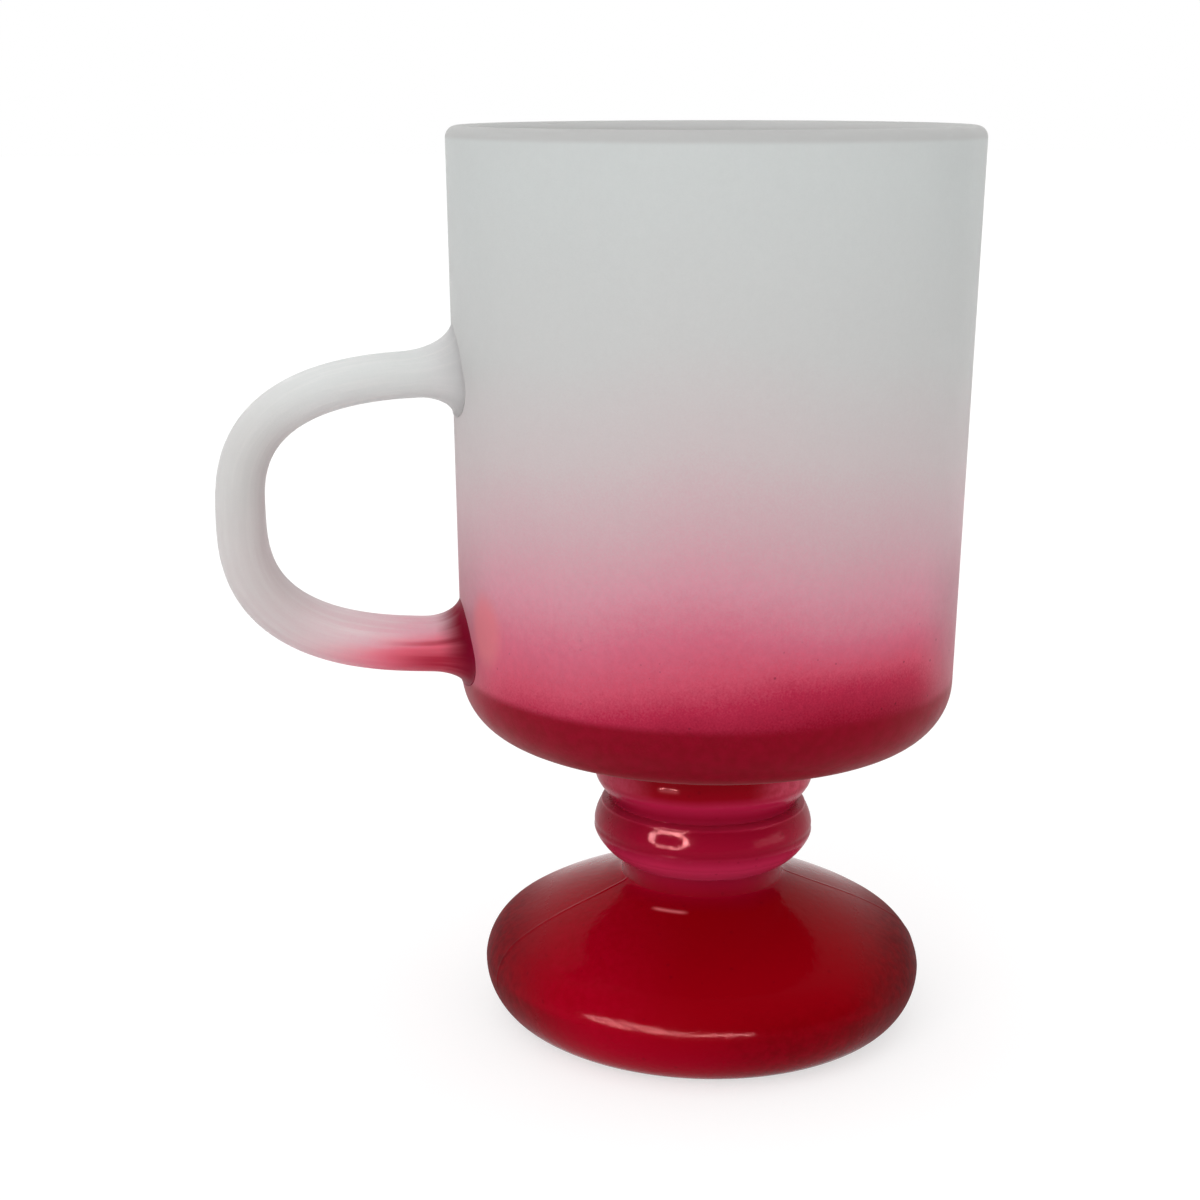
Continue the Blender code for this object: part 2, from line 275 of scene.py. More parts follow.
# Painted shade, a lilac-grey crease at the upper pad
UPPER_PAD_SHADE_REACH = (6.5 * MM, 2.0 * MM)
UPPER_PAD_SHADE_TINT = (0.2, paint(222, 212, 216))
BAR_ROUGHNESS = (0.34, 0.46)
BAR_PASSES = 0.25
BAR_GLOWS = 1.0
GLOW_REACH = 8.0 * MM

# Red coat of the stem and the foot
COAT_GRAIN = 0.012 * MM
COAT_GRAIN_SCALE = 2400.0
COAT_PEEL = 0.03 * MM
COAT_SHINE = (1.0, 0.36, 0.38, 1.0)
COAT_DRIFT = 0.8 * MM
SIDE_MOTTLE = (0.3, 0.7, 0.55, 1.0)
DULL_SIDES = (0.55, 0.95)
RED_SPECKS = (700.0, 0.22)
RED_SPECKS_TINT = (0.25, paint(96, 0, 16))
RIPPLE_TURN = math.radians(-119.7)
# Painted highlight on the crest of a ripple
RIPPLE_HIGHLIGHT_COLOUR = paint(222, 112, 118)

# Painted light and shade at the sides, each (which side, radius, stretch of height, stretch across, share,
# colour)
ALL_HEIGHTS = (-2.0 * MM, -1.0 * MM)
# On the stem: pink at the collar's sides is a painted reflection of the bright room, and the near side of the
# stem is darkened as painted shade
STEM_SIDE_LIGHT_AND_SHADE = (("both", COLLAR_RADIUS, (36.5 * MM, 37.3 * MM), (0.40, 0.78), 0.9, paint(212, 74, 102)),
              ("near", KNOP_RADIUS, (0.0, 1.0 * MM), (0.40, 0.90), 0.40, paint(104, 8, 30)))
# On the foot: brighter red on the near side is painted glow, and the dark sides and the dark crescents low
# down are painted shade and reflection of the dim room
FOOT_SIDE_LIGHT_AND_SHADE = (("near", FOOT_RADIUS, ALL_HEIGHTS, (0.0, 0.50), 0.35, paint(182, 4, 42)),
              ("far", FOOT_RADIUS, (15.0 * MM, 6.0 * MM), (-0.10, 0.40), 0.60, paint(92, 0, 0)),
              ("both", FOOT_RADIUS, ALL_HEIGHTS, (0.58, 1.0), 0.92, paint(70, 0, 6)),
              ("both", FOOT_RADIUS, (9.0 * MM, 7.5 * MM), (0.40, 0.85), 0.7, paint(96, 0, 6)))
# Short ripples in the coat, whose crests are painted paler as a painted highlight
STEM_RIPPLE = {"by_radius": False, "middle": 38.5 * MM, "half": 0.30 * MM, "span": math.radians(7.0),
               "tall": 0.068 * MM, "thin": 0.35}
FOOT_RIPPLE = {"by_radius": True, "middle": 14.9 * MM, "half": 0.28 * MM, "span": math.radians(12.0),
               "tall": 0.03 * MM, "thin": 0.8}
STEM_COAT = {"colours": STEM_COLOURS_AND_REFLECTIONS, "sides": STEM_SIDE_LIGHT_AND_SHADE, "radius": COLLAR_RADIUS, "gloss": 0.08,
             "roughness": (0.08, 0.15), "dullness": 0.2, "ripple": STEM_RIPPLE}
FOOT_COAT = {"colours": FOOT_COLOURS_AND_LIGHT_FROM_BELOW, "sides": FOOT_SIDE_LIGHT_AND_SHADE, "radius": FOOT_RADIUS, "gloss": 0.035,
             "roughness": (0.09, 0.15), "dullness": 0.45, "ripple": FOOT_RIPPLE}

# Camera
CAMERA_PLACE = (-0.04733, -0.30224, 0.13665)
CAMERA_YAW = math.radians(7.1531)
CAMERA_DOWN = math.radians(12.6742)
CAMERA_ROLL = math.radians(-0.0976)
CAMERA_SENSOR = 36.0
CAMERA_LENS = 64.94
CAMERA_SHIFT = (0.0583, -0.025)
CAMERA_CLIP = (0.01, 50.0)

# Studio
WHITE = (1.0, 1.0, 1.0, 1.0)
ROOM_LIGHT = 0.95
ROOM_DIM = 0.10
DIM_SIDE = (-0.21, -0.98, 0.0)
DIM_EDGE = (-0.25, 0.40)
STUDIO_FLOOR_SIZE = 8.0
STUDIO_FLOOR_LEVEL = -0.05 * MM
STUDIO_FLOOR_COLOUR = (0.8, 0.8, 0.8, 1.0)
STUDIO_FLOOR_SHOWN = (0.45, 0.45, 0.45, 1.0)
STUDIO_FLOOR_GLOW = 0.62
SOFT_BOX_PLACE = (-0.55, -0.75, 0.75)
SOFT_BOX_SIZE = 0.8
SOFT_BOX_WATTS = 3.0

# Lamps that only shine in the red coat, with turns and lifts in degrees round the place they aim at
LAMP_AIM = Vector((CUP_AXIS, 0.0, 0.03))
LAMP_AWAY = 0.62
RING_TURN = -137.5
RING_STEPS = 64
STEM_RING = {"lift": 18.0, "half_wide": 0.190, "half_tall": 0.175, "band": 0.04, "level": 190.0}
FOOT_RING = {"lift": 3.2, "half_wide": 0.21, "half_tall": 0.03, "band": 0.025, "level": 270.0}
STEM_PANEL = {"lifts": (-2.0, 14.0), "turns": (-46.0, -12.0), "steps": 12, "level": 6.0}
FOOT_STRIP = {"lifts": (-2.2, 0.8), "turns": (-125.0, -76.0), "steps": 24, "level": 220.0}


class Wiring:
    """Short ways to add nodes to one tree and to join them."""

    def __init__(self, tree):
        self.tree = tree

    def add(self, kind, values=(), **settings):
        """A new node with its settings, and with values for its inputs by name or number."""
        node = self.tree.nodes.new(kind)
        for name, value in settings.items():
            setattr(node, name, value)
        self.fill(node, dict(values))
        return node

    def fill(self, node, values):
        for label, value in values.items():
            self.feed(node.inputs[label], value)

    def feed(self, socket, value):
        if isinstance(value, bpy.types.NodeSocket):
            self.tree.links.new(value, socket)
        else:
            socket.default_value = value

    def sum(self, operation, first, second=0.0, third=0.0):
        return self.add("ShaderNodeMath", enumerate((first, second, third)), operation=operation).outputs[0]

    def times(self, first, *others):
        for other in others:
            first = self.sum("MULTIPLY", first, other)
        return first

    def between(self, value, low, high, low_out=0.0, high_out=1.0, smooth=True):
        """A value that goes from one number to another as the given value passes a stretch."""
        way = "SMOOTHSTEP" if smooth else "LINEAR"
        values = {"Value": value, "From Min": low, "From Max": high, "To Min": low_out, "To Max": high_out}
        return self.add("ShaderNodeMapRange", values, clamp=True, interpolation_type=way).outputs[0]

    def parts(self, vector):
        return self.add("ShaderNodeSeparateXYZ", {0: vector}).outputs

    def vector(self, x, y, z):
        return self.add("ShaderNodeCombineXYZ", enumerate((x, y, z))).outputs[0]


# Outlines of the turned pieces, as points of radius and height

def arc(centre, radius, first, last, steps):
    points = []
    for step in range(steps + 1):
        angle = first + (last - first) * step / steps
        points.append((centre[0] + radius * math.cos(angle), centre[1] + radius * math.sin(angle)))
    return points


def quarter(upright, level, fullness=2.0, steps=24):
    """A rounded quarter that leaves the first point upright and reaches the second one level."""
    points = []
    for step in range(steps + 1):
        angle = 0.5 * math.pi * step / steps
        across = math.cos(angle) ** (2.0 / fullness)
        along = math.sin(angle) ** (2.0 / fullness)
        points.append((level[0] + (upright[0] - level[0]) * across,
                       upright[1] + (level[1] - upright[1]) * along))
    return points


def bend(first, second, third, last, steps=24):
    """A smooth bend from the first point to the last, pulled by the two between them."""
    pulls = (first, second, third, last)
    points = []
    for step in range(steps + 1):
        share = step / steps
        rest = 1.0 - share
        parts = (rest ** 3, 3.0 * rest ** 2 * share, 3.0 * rest * share ** 2, share ** 3)
        points.append(tuple(sum(part * pull[axis] for part, pull in zip(parts, pulls)) for axis in (0, 1)))
    return points


def finer(points, step):
    """The same outline with no stretch longer than a step."""
    fine = [points[0]]
    for before, after in zip(points, points[1:]):
        length = math.dist(before, after)
        parts = max(1, math.ceil(length / step))
        for part in range(1, parts + 1):
            share = part / parts
            fine.append((before[0] + (after[0] - before[0]) * share,
                         before[1] + (after[1] - before[1]) * share))
    return fine


def ringed(points, rings):
    """An outline with small turned rings or grooves, each (height, size, half width)."""
    changed = []
    for radius, height in points:
        for ring_height, size, half in rings:
            radius += size * math.exp(-((height - ring_height) / half) ** 2)
        changed.append((radius, height))
    return changed


def wall_radius(height):
    share = (height - CORNER_HEIGHT) / (LIP_HEIGHT - CORNER_HEIGHT)
    return BASE_RADIUS + (RIM_RADIUS - BASE_RADIUS) * share


def cup_inside():
    corner_height = CUP_LOW.z + CUP_FLOOR + INNER_CORNER
    corner = (wall_radius(corner_height) - WALL - INNER_CORNER, corner_height)
    lip = (RIM_RADIUS - 0.5 * WALL, LIP_HEIGHT)
    points = [(0.0, CUP_LOW.z + CUP_FLOOR)]
    points += arc(corner, INNER_CORNER, -0.5 * math.pi, 0.0, steps=14)
    points += arc(lip, 0.5 * WALL, math.pi, LIP_INSIDE_END, LIP_STEPS)
    return points


def cup_outside():
    lip = (RIM_RADIUS - 0.5 * WALL, LIP_HEIGHT)
    corner = (CORNER_RADIUS, CORNER_HEIGHT)
    points = arc(lip, 0.5 * WALL, 0.5 * math.pi, 0.0, steps=9)
    points += arc(corner, OUTER_CORNER, 0.0, BASE_SLOPE - 0.5 * math.pi, steps=18)
    points += [(SEAT_RADIUS, CUP_LOW.z), (0.0, CUP_LOW.z)]
    return points


def collar_outline():
    top = COLLAR_HIGH.z + OVERLAP
    low = COLLAR_LOW.z - WAIST_DROP
    widest = (COLLAR_RADIUS, COLLAR_SWELL)
    points = [(0.0, top), (COLLAR_TOP_RADIUS, top)]
    points += reversed(quarter(widest, (COLLAR_TOP_RADIUS, COLLAR_HIGH.z)))
    points += bend(widest, (COLLAR_RADIUS, COLLAR_SWELL - COLLAR_FALL),
                   (WAIST_RADIUS + WAIST_FLARE, low + WAIST_RISE), (WAIST_RADIUS, low))[1:]
    points += [(WAIST_RADIUS, low - OVERLAP), (0.0, low - OVERLAP)]
    return points


def knop_outline():
    low = KNOP_LOW.z
    middle = (KNOP_RADIUS - KNOP_ROUND, KNOP_SWELL)
    swell = arc(middle, KNOP_ROUND, KNOP_SHOULDER, 0.0, steps=30)
    shoulder = swell[0]
    side = bend((WAIST_RADIUS, KNOP_TOP), (WAIST_RADIUS + SHOULDER_START, KNOP_TOP),
                (shoulder[0] - SHOULDER_END[0], KNOP_TOP - SHOULDER_END[1]), shoulder)
    side += swell[1:]
    side += quarter((KNOP_RADIUS, KNOP_SWELL), (KNOP_EDGE_RADIUS, low), KNOP_TAPER)[1:]
    return [(0.0, KNOP_TOP)] + ringed(finer(side, RING_STEP), KNOP_RINGS) + [(0.0, low)]


def neck_outline():
    top = NECK_HIGH.z + OVERLAP
    low = NECK_LOW.z - OVERLAP
    points = [(0.0, top), (NECK_RADIUS, top)]
    for step in range(NECK_STEPS + 1):
        share = step / NECK_STEPS
        height = NECK_HIGH.z + (NECK_LOW.z - NECK_HIGH.z) * share
        points.append((NECK_RADIUS - NECK_WAIST * math.sin(math.pi * share), height))
    points += [(NECK_RADIUS, low), (0.0, low)]
    return points


def foot_outline():
    edge_middle = (FOOT_RADIUS - EDGE_ROUND, FOOT_EDGE)
    back = EDGE_ROUND - SHOULDER_ROUND
    shoulder_middle = (edge_middle[0] + back * math.cos(EDGE_ANGLE),
                       edge_middle[1] + back * math.sin(EDGE_ANGLE))
    shoulder = arc(shoulder_middle, SHOULDER_ROUND, SHOULDER_ANGLE, EDGE_ANGLE, steps=16)
    edge = arc(edge_middle, EDGE_ROUND, EDGE_ANGLE, 0.0, steps=12)
    pulls = [(FOOT_TOP[0] + out, FOOT_TOP[1] + rise) for out, rise in FILLET_PULLS]
    fillet = bend(FOOT_TOP, *pulls, FILLET_END, steps=12)
    dome = []
    for step in range(1, DOME_STEPS):
        down = step / DOME_STEPS
        fuller = down ** CROWN_LEAN
        crown = 4.0 * FOOT_CROWN * fuller * (1.0 - fuller)
        dome.append((FILLET_END[0] + (shoulder[0][0] - FILLET_END[0]) * down,
                     FILLET_END[1] + (shoulder[0][1] - FILLET_END[1]) * down + crown))
    points = [(0.0, FOOT_TOP[1])] + fillet + dome + shoulder + edge[1:]
    points += quarter((FOOT_RADIUS, FOOT_EDGE), (STANDING_RADIUS, 0.0))[1:]
    points += quarter((STANDING_RADIUS - STANDING_WIDTH, 0.0), (0.0, HOLLOW_DEPTH))
    return points


# Geometry Nodes trees

def new_tree(name, inputs):
    """A geometry tree with named inputs and one geometry output, and the identifiers of its inputs."""
    tree = bpy.data.node_groups.new(name, "GeometryNodeTree")
    names = {}
    for label, kind in inputs:
        socket = tree.interface.new_socket(label, in_out="INPUT", socket_type="NodeSocket" + kind)
        names[label] = socket.identifier
    tree.interface.new_socket("Glass", in_out="OUTPUT", socket_type="NodeSocketGeometry")
    return tree, names


def spread_rows(wires, outline, steps):
    """A grid with a column for each step round and a row for each point of the outline."""
    points = wires.add("GeometryNodeAttributeDomainSize", {"Geometry": outline}).outputs["Point Count"]
    columns = wires.sum("ADD", steps, 1.0)
    grid = wires.add("GeometryNodeMeshGrid", {"Vertices X": columns, "Vertices Y": points})
    index = wires.add("GeometryNodeInputIndex").outputs[0]
    column = wires.sum("FLOOR", wires.sum("DIVIDE", wires.sum("ADD", index, 0.5), points))
    row = wires.sum("SUBTRACT", index, wires.times(column, points))
    angle = wires.times(wires.sum("DIVIDE", column, steps), 2.0 * math.pi)
    return grid.outputs["Mesh"], row, angle


def point_at(wires, outline, row, value, kind="FLOAT_VECTOR"):
    values = {"Geometry": outline, "Value": value, "Index": row}
    return wires.add("GeometryNodeSampleIndex", values, data_type=kind, domain="POINT").outputs["Value"]


def named_value(wires, name, kind="FLOAT"):
    return wires.add("GeometryNodeInputNamedAttribute", {"Name": name}, data_type=kind).outputs[0]


def stored(wires, mesh, name, value, kind="FLOAT"):
    values = {"Geometry": mesh, "Name": name, "Value": value}
    return wires.add("GeometryNodeStoreNamedAttribute", values, data_type=kind, domain="POINT").outputs[0]


def placed(wires, mesh, way, place):
    """The mesh with each point moved, the way being Position or Offset."""
    return wires.add("GeometryNodeSetPosition", {"Geometry": mesh, way: place}).outputs[0]


def closed(wires, mesh):
    """The mesh with its seam and poles welded, shaded smooth and made real."""
    mesh = wires.add("GeometryNodeMergeByDistance", {"Geometry": mesh, "Distance": WELD}).outputs[0]
    mesh = wires.add("GeometryNodeSetShadeSmooth", {"Geometry": mesh}).outputs[0]
    return wires.add("GeometryNodeRealizeInstances", {0: mesh}).outputs[0]


def coated(wires, mesh, material, selection=True):
    values = {"Geometry": mesh, "Material": material, "Selection": selection}
    return wires.add("GeometryNodeSetMaterial", values).outputs[0]


def turned_glass_tree():
    """Turns an outline about the cup's axis, with two thin mould seams down its outside."""
    tree, names = new_tree("Turned glass", (
        ("Outline", "Geometry"), ("Steps Round", "Int"), ("Axis", "Float"), ("Inside Points", "Int"),
        ("Seam Points", "Int"), ("First Seam", "Float"), ("Second Seam", "Float"), ("Seam Height", "Float"),
        ("Seam Width", "Float"), ("Coat", "Material"), ("Inside Finish", "Material")))
    wires = Wiring(tree)
    given = wires.add("NodeGroupInput").outputs
    mesh, row, angle = spread_rows(wires, given["Outline"], given["Steps Round"])
    place = wires.add("GeometryNodeInputPosition").outputs[0]
    radius, _, height = wires.parts(point_at(wires, given["Outline"], row, place))
    x = wires.sum("ADD", given["Axis"], wires.times(radius, wires.sum("COSINE", angle)))
    y = wires.times(radius, wires.sum("SINE", angle))
    mesh = placed(wires, mesh, "Position", wires.vector(x, y, height))
    mesh = wires.add("GeometryNodeFlipFaces", {0: mesh}).outputs[0]

    ridge = 0.0
    for seam in ("First Seam", "Second Seam"):
        turn = wires.sum("SUBTRACT", angle, given[seam])
        turn = wires.sum("ABSOLUTE", wires.sum("WRAP", turn, math.pi, -math.pi))
        part = wires.between(wires.times(turn, radius), 0.0, given["Seam Width"], 1.0, 0.0)
        ridge = wires.sum("ADD", part, ridge)
    on_seam = wires.sum("LESS_THAN", row, given["Seam Points"])
    normal = wires.add("GeometryNodeInputNormal").outputs[0]
    size = wires.times(ridge, on_seam, given["Seam Height"])
    out = wires.add("ShaderNodeVectorMath", {"Vector": normal, "Scale": size}, operation="SCALE").outputs[0]
    mesh = placed(wires, mesh, "Offset", out)

    mesh = closed(wires, stored(wires, mesh, "outline_row", row))
    last_inside = wires.sum("SUBTRACT", given["Inside Points"], 1.0)
    inside = wires.sum("LESS_THAN", named_value(wires, "outline_row"), last_inside)
    mesh = coated(wires, mesh, given["Coat"])
    mesh = coated(wires, mesh, given["Inside Finish"], inside)
    wires.add("NodeGroupOutput", {0: mesh})
    return tree, names


def bent_bar_tree():
    """Sweeps the handle's section along its middle line and shapes both pads to the cup's wall."""
    tree, names = new_tree("Bent bar", (
        ("Line", "Geometry"), ("Steps Round", "Int"), ("Squareness", "Float"), ("Axis", "Float"),
        ("Wall Radius", "Float"), ("Wall Taper", "Float"), ("Pad Spread", "Float"), ("Coat", "Material")))
    wires = Wiring(tree)
    given = wires.add("NodeGroupInput").outputs
    line = given["Line"]
    mesh, row, angle = spread_rows(wires, line, given["Steps Round"])
    place = wires.add("GeometryNodeInputPosition").outputs[0]
    own = {}
    for name in ("half_thick", "half_wide", "lean", "along"):
        own[name] = point_at(wires, line, row, named_value(wires, name), "FLOAT")
    heading = wires.parts(point_at(wires, line, row, named_value(wires, "tangent", "FLOAT_VECTOR")))
    middle = wires.parts(point_at(wires, line, row, place))

    def squared(wave):
        size = wires.sum("POWER", wires.sum("ABSOLUTE", wave), wires.sum("DIVIDE", 2.0, given["Squareness"]))
        return wires.times(size, wires.sum("SIGN", wave))

    cosine = wires.sum("COSINE", angle)
    sine = wires.sum("SINE", angle)
    thick = wires.times(own["half_thick"], squared(cosine))
    x = wires.sum("ADD", middle[0], wires.times(heading[2], thick))
    drop = wires.times(heading[0], thick)
    z = wires.sum("SUBTRACT", middle[2], drop)
    # A pad is wider below than above
    lower = wires.sum("DIVIDE", drop, wires.sum("MAXIMUM", own["half_thick"], WELD))
    spread = wires.times(own["lean"], given["Pad Spread"], lower)
    wide = wires.times(own["half_wide"], wires.sum("ADD", spread, 1.0))
    y = wires.times(wide, squared(sine))
    # A pad sags back along the round of the wall
    wall = wires.sum("ADD", given["Wall Radius"], wires.times(given["Wall Taper"], z))
    square = wires.sum("SUBTRACT", wires.sum("POWER", wall, 2.0), wires.sum("POWER", y, 2.0))
    sagging = wires.sum("SUBTRACT", wall, wires.sum("SQRT", square))
    x = wires.sum("ADD", x, wires.times(own["lean"], sagging))
    mesh = placed(wires, mesh, "Position", wires.vector(wires.sum("ADD", given["Axis"], x), y, z))
    bar_place = wires.vector(cosine, sine, own["along"])
    mesh = closed(wires, stored(wires, mesh, "bar_place", bar_place, "FLOAT_VECTOR"))
    mesh = coated(wires, mesh, given["Coat"])
    wires.add("NodeGroupOutput", {0: mesh})
    return tree, names


def plain_piece(name, source, tree, names, values):
    """Runs a tree on a source mesh and keeps the result as a plain mesh at the origin."""
    holder = bpy.data.objects.new(name + "_source", source)
    bpy.context.scene.collection.objects.link(holder)
    modifier = holder.modifiers.new(tree.name, "NODES")
    modifier.node_group = tree
    for label, value in values.items():
        modifier[names[label]] = value
    bpy.context.view_layer.update()
    shaped = holder.evaluated_get(bpy.context.evaluated_depsgraph_get())
    mesh = bpy.data.meshes.new_from_object(shaped)
    mesh.name = name
    bpy.data.objects.remove(holder)
    # A grid brings an empty first material slot, which goes
    slots = [max(0, face.material_index - 1) for face in mesh.polygons]
    mesh.materials.pop(index=0)
    mesh.polygons.foreach_set("material_index", slots)
    mesh.set_sharp_from_angle(angle=SHARP_EDGE)
    piece = bpy.data.objects.new(name, mesh)
    bpy.context.scene.collection.objects.link(piece)
    return piece


def line_mesh(name, points):
    """A mesh of one line through the points."""
    mesh = bpy.data.meshes.new(name)
    mesh.from_pydata(points, [(index, index + 1) for index in range(len(points) - 1)], [])
    return mesh


def flare(size_and_length, out):
    """How far a pad has flared at a distance from the cup's wall."""
    size, length = size_and_length
    near = min(1.0, max(0.0, 1.0 - out / length))
    return size * (1.0 - math.sqrt(1.0 - near ** 2))


def handle_line():
    """Stations on the middle line, from the upper pad round to the lower one, with the bar's size at each."""
    power = HANDLE_FULLNESS / 2.0
    half_rise = 0.5 * HANDLE_RISE
    pad_angles = []
    for step in range(PAD_STEPS, -1, -1):
        out = PAD_LENGTH * (1.0 - math.sin(0.5 * math.pi * step / PAD_STEPS))
        pad_angles.append(math.acos((out / HANDLE_REACH) ** power))
    last = pad_angles[-1]
    bow = [last - 2.0 * last * step / BOW_STEPS for step in range(1, BOW_STEPS)]
    stations = []
    for angle in pad_angles + bow + [-angle for angle in reversed(pad_angles)]:
        level = math.copysign(abs(math.sin(angle)) ** (1.0 / power), angle)
        out = HANDLE_REACH * math.cos(angle) ** (1.0 / power)
        height = HANDLE_MIDDLE + half_rise * level
        thick = BAR_THICK + (BAR_THICK_LOW - BAR_THICK) * 0.5 * (1.0 - level)
        above, below = (OVER_UPPER_PAD, UNDER_UPPER_PAD) if level > 0.0 else (OVER_LOWER_PAD, UNDER_LOWER_PAD)
        above, below = flare(above, out), flare(below, out)
        stations.append({"place": Vector((-wall_radius(height) - out, 0.0, height)),
                         "raise": 0.5 * (above - below),
                         "lean": max(0.0, 1.0 - out / PAD_LENGTH) ** 2,
                         "half_thick": 0.5 * (thick + above + below),
                         "half_wide": 0.5 * BAR_WIDE * thick + flare(PAD_WIDENING, out)})
    return stations


def handle_mesh():
    """The handle's middle line as a mesh that carries the bar's sizes, and its length."""
    stations = handle_line()
    for index, station in enumerate(stations):
        before = stations[max(0, index - 1)]["place"]
        after = stations[min(len(stations) - 1, index + 1)]["place"]
        station["tangent"] = (after - before).normalized()
    for station in stations:
        station["place"] = station["place"] + Vector((0.0, 0.0, station["raise"]))
    # Both ends sink a little into the wall and close to a point there
    ends = []
    for station in (stations[0], stations[-1]):
        sunk = {**station, "place": station["place"] + Vector((PAD_SINK, 0.0, 0.0)), "lean": 1.0}
        ends.append((sunk, {**sunk, "half_thick": 0.0, "half_wide": 0.0}))
    stations = [ends[0][1], ends[0][0]] + stations + [ends[1][0], ends[1][1]]
    points = [station["place"] for station in stations]
    along = [0.0]
    for before, after in zip(points, points[1:]):
        along.append(along[-1] + (after - before).length)
    mesh = line_mesh("handle_line", points)
    for name in ("half_thick", "half_wide", "lean"):
        values = [station[name] for station in stations]
        mesh.attributes.new(name, "FLOAT", "POINT").data.foreach_set("value", values)
    mesh.attributes.new("along", "FLOAT", "POINT").data.foreach_set("value", along)
    headings = [part for station in stations for part in station["tangent"]]
    mesh.attributes.new("tangent", "FLOAT_VECTOR", "POINT").data.foreach_set("vector", headings)
    return mesh, along[-1]


# Materials

def new_material(name):
    """A material with its wiring, its shader and the place on the piece."""
    material = bpy.data.materials.new(name)
    material.use_nodes = True
    wires = Wiring(material.node_tree)
    place = wires.add("ShaderNodeTexCoord").outputs["Object"]
    return material, wires, material.node_tree.nodes["Principled BSDF"], place


def shader_group(name, inputs, outputs):
    """An empty shader group with named inputs and outputs, each (label, kind)."""
    group = bpy.data.node_groups.new(name, "ShaderNodeTree")
    for way, sockets in (("INPUT", inputs), ("OUTPUT", outputs)):
        for label, kind in sockets:
            group.interface.new_socket(label, in_out=way, socket_type="NodeSocket" + kind)
    wires = Wiring(group)
    return group, wires, wires.add("NodeGroupInput").outputs, wires.add("NodeGroupOutput").inputs


def grouped(wires, group, *values):
    """The outputs of a group, with values for its inputs in their order."""
    return wires.add("ShaderNodeGroup", enumerate(values), node_tree=group).outputs


def noise(wires, place, scale, detail=2.0, roughness=0.5):
    values = {"Vector": place, "Scale": scale, "Detail": detail, "Roughness": roughness}
    return wires.add("ShaderNodeTexNoise", values).outputs["Fac"]


def swing(wires, value):
    """A noise moved so that it swings about 0."""
    return wires.sum("SUBTRACT", value, 0.5)


def mixed(wires, share, first, second):
    """A mix of two colours by a share."""
    values = {"Factor": share, "A": first, "B": second}
    return wires.add("ShaderNodeMix", values, data_type="RGBA").outputs["Result"]


def tinted(wires, colour, tint, *masks):
    """The colour with a tint over it, where all the masks are 1."""
    share, over = tint
    return mixed(wires, wires.times(*masks, share), colour, over)


def graded(wires, height, stops):
    """A colour by height, between stops that are each (height in mm, colour)."""
    low, high = stops[0][0] * MM, stops[-1][0] * MM
    ramp = wires.add("ShaderNodeValToRGB", {"Fac": wires.between(height, low, high, smooth=False)})
    elements = ramp.color_ramp.elements
    while len(elements) < len(stops):
        elements.new(0.5)
    for element, (level, colour) in zip(elements, stops):
        element.position = (level * MM - low) / (high - low)
        element.color = paint(*colour)
    return ramp.outputs["Color"]


def bumped(wires, shader, height, depth):
    bump = wires.add("ShaderNodeBump", {"Strength": 1.0, "Distance": depth, "Height": height})
    wires.feed(shader.inputs["Normal"], bump.outputs["Normal"])


def spray_fade_group():
    """Colour of the sprayed coat by height, uneven where the spray drifted and grainy from its mist."""
    group, wires, given, out = shader_group(
        "Spray fade", (("Place", "Vector"), ("Height", "Float"), ("Drift", "Float"), ("Mist", "Float")),
        (("Coat Colour", "Color"),))
    drift = swing(wires, noise(wires, given["Place"], scale=55.0))
    mist = swing(wires, noise(wires, given["Place"], scale=3600.0, roughness=0.6))
    shift = wires.sum("MULTIPLY_ADD", drift, given["Drift"], wires.times(mist, given["Mist"]))
    colour = graded(wires, wires.sum("ADD", given["Height"], shift), FADE)
    mottle = noise(wires, given["Place"], scale=900.0, detail=3.0, roughness=0.6)
    mottle = wires.between(mottle, *MOTTLE_EDGES)
    mottle = wires.times(mottle, wires.between(given["Height"], *MOTTLE_BY_HEIGHT))
    colour = mixed(wires, mottle, colour, MOTTLE_COLOUR)
    frost = wires.times(wires.between(given["Height"], *FROST_BY_HEIGHT), wires.between(mist, *MIST_EDGES))
    wires.feed(out["Coat Colour"], mixed(wires, frost, colour, FROST_COLOUR))
    return group


def frost_grain_group():
    """Fine sandy grain of the frosted coat: a value for the bump, and a roughness that varies with it."""
    group, wires, given, out = shader_group(
        "Frost grain",
        (("Place", "Vector"), ("Grain Scale", "Float"), ("Smoothest", "Float"), ("Roughest", "Float")),
        (("Grain", "Float"), ("Roughness", "Float")))
    fine = noise(wires, given["Place"], given["Grain Scale"], roughness=0.6)
    cloud = noise(wires, given["Place"], scale=180.0, detail=3.0, roughness=0.55)
    both = wires.sum("MULTIPLY_ADD", fine, GRAIN_SHARE, wires.times(cloud, CLOUD_SHARE))
    wires.feed(out["Grain"], fine)
    wires.feed(out["Roughness"], wires.between(both, *GRAIN_EDGES, given["Smoothest"], given["Roughest"]))
    return group


def spray_specks_group():
    """Scattered droplets of the spray: 1 on a droplet and 0 beside it."""
    group, wires, given, out = shader_group(
        "Spray specks", (("Place", "Vector"), ("Spacing Scale", "Float"), ("Droplet Size", "Float")),
        (("Specks", "Float"),))
    values = {"Vector": given["Place"], "Scale": given["Spacing Scale"]}
    cells = wires.add("ShaderNodeTexVoronoi", values, feature="F1").outputs
    lot = wires.parts(cells["Color"])[0]
    size = wires.times(wires.between(lot, *DROPLET_LOTS), given["Droplet Size"])
    within = wires.sum("SUBTRACT", size, cells["Distance"])
    wires.feed(out["Specks"], wires.between(within, *DROPLET_EDGE))
    return group


SPRAY_FADE = spray_fade_group()
FROST_GRAIN = frost_grain_group()
SPRAY_SPECKS = spray_specks_group()


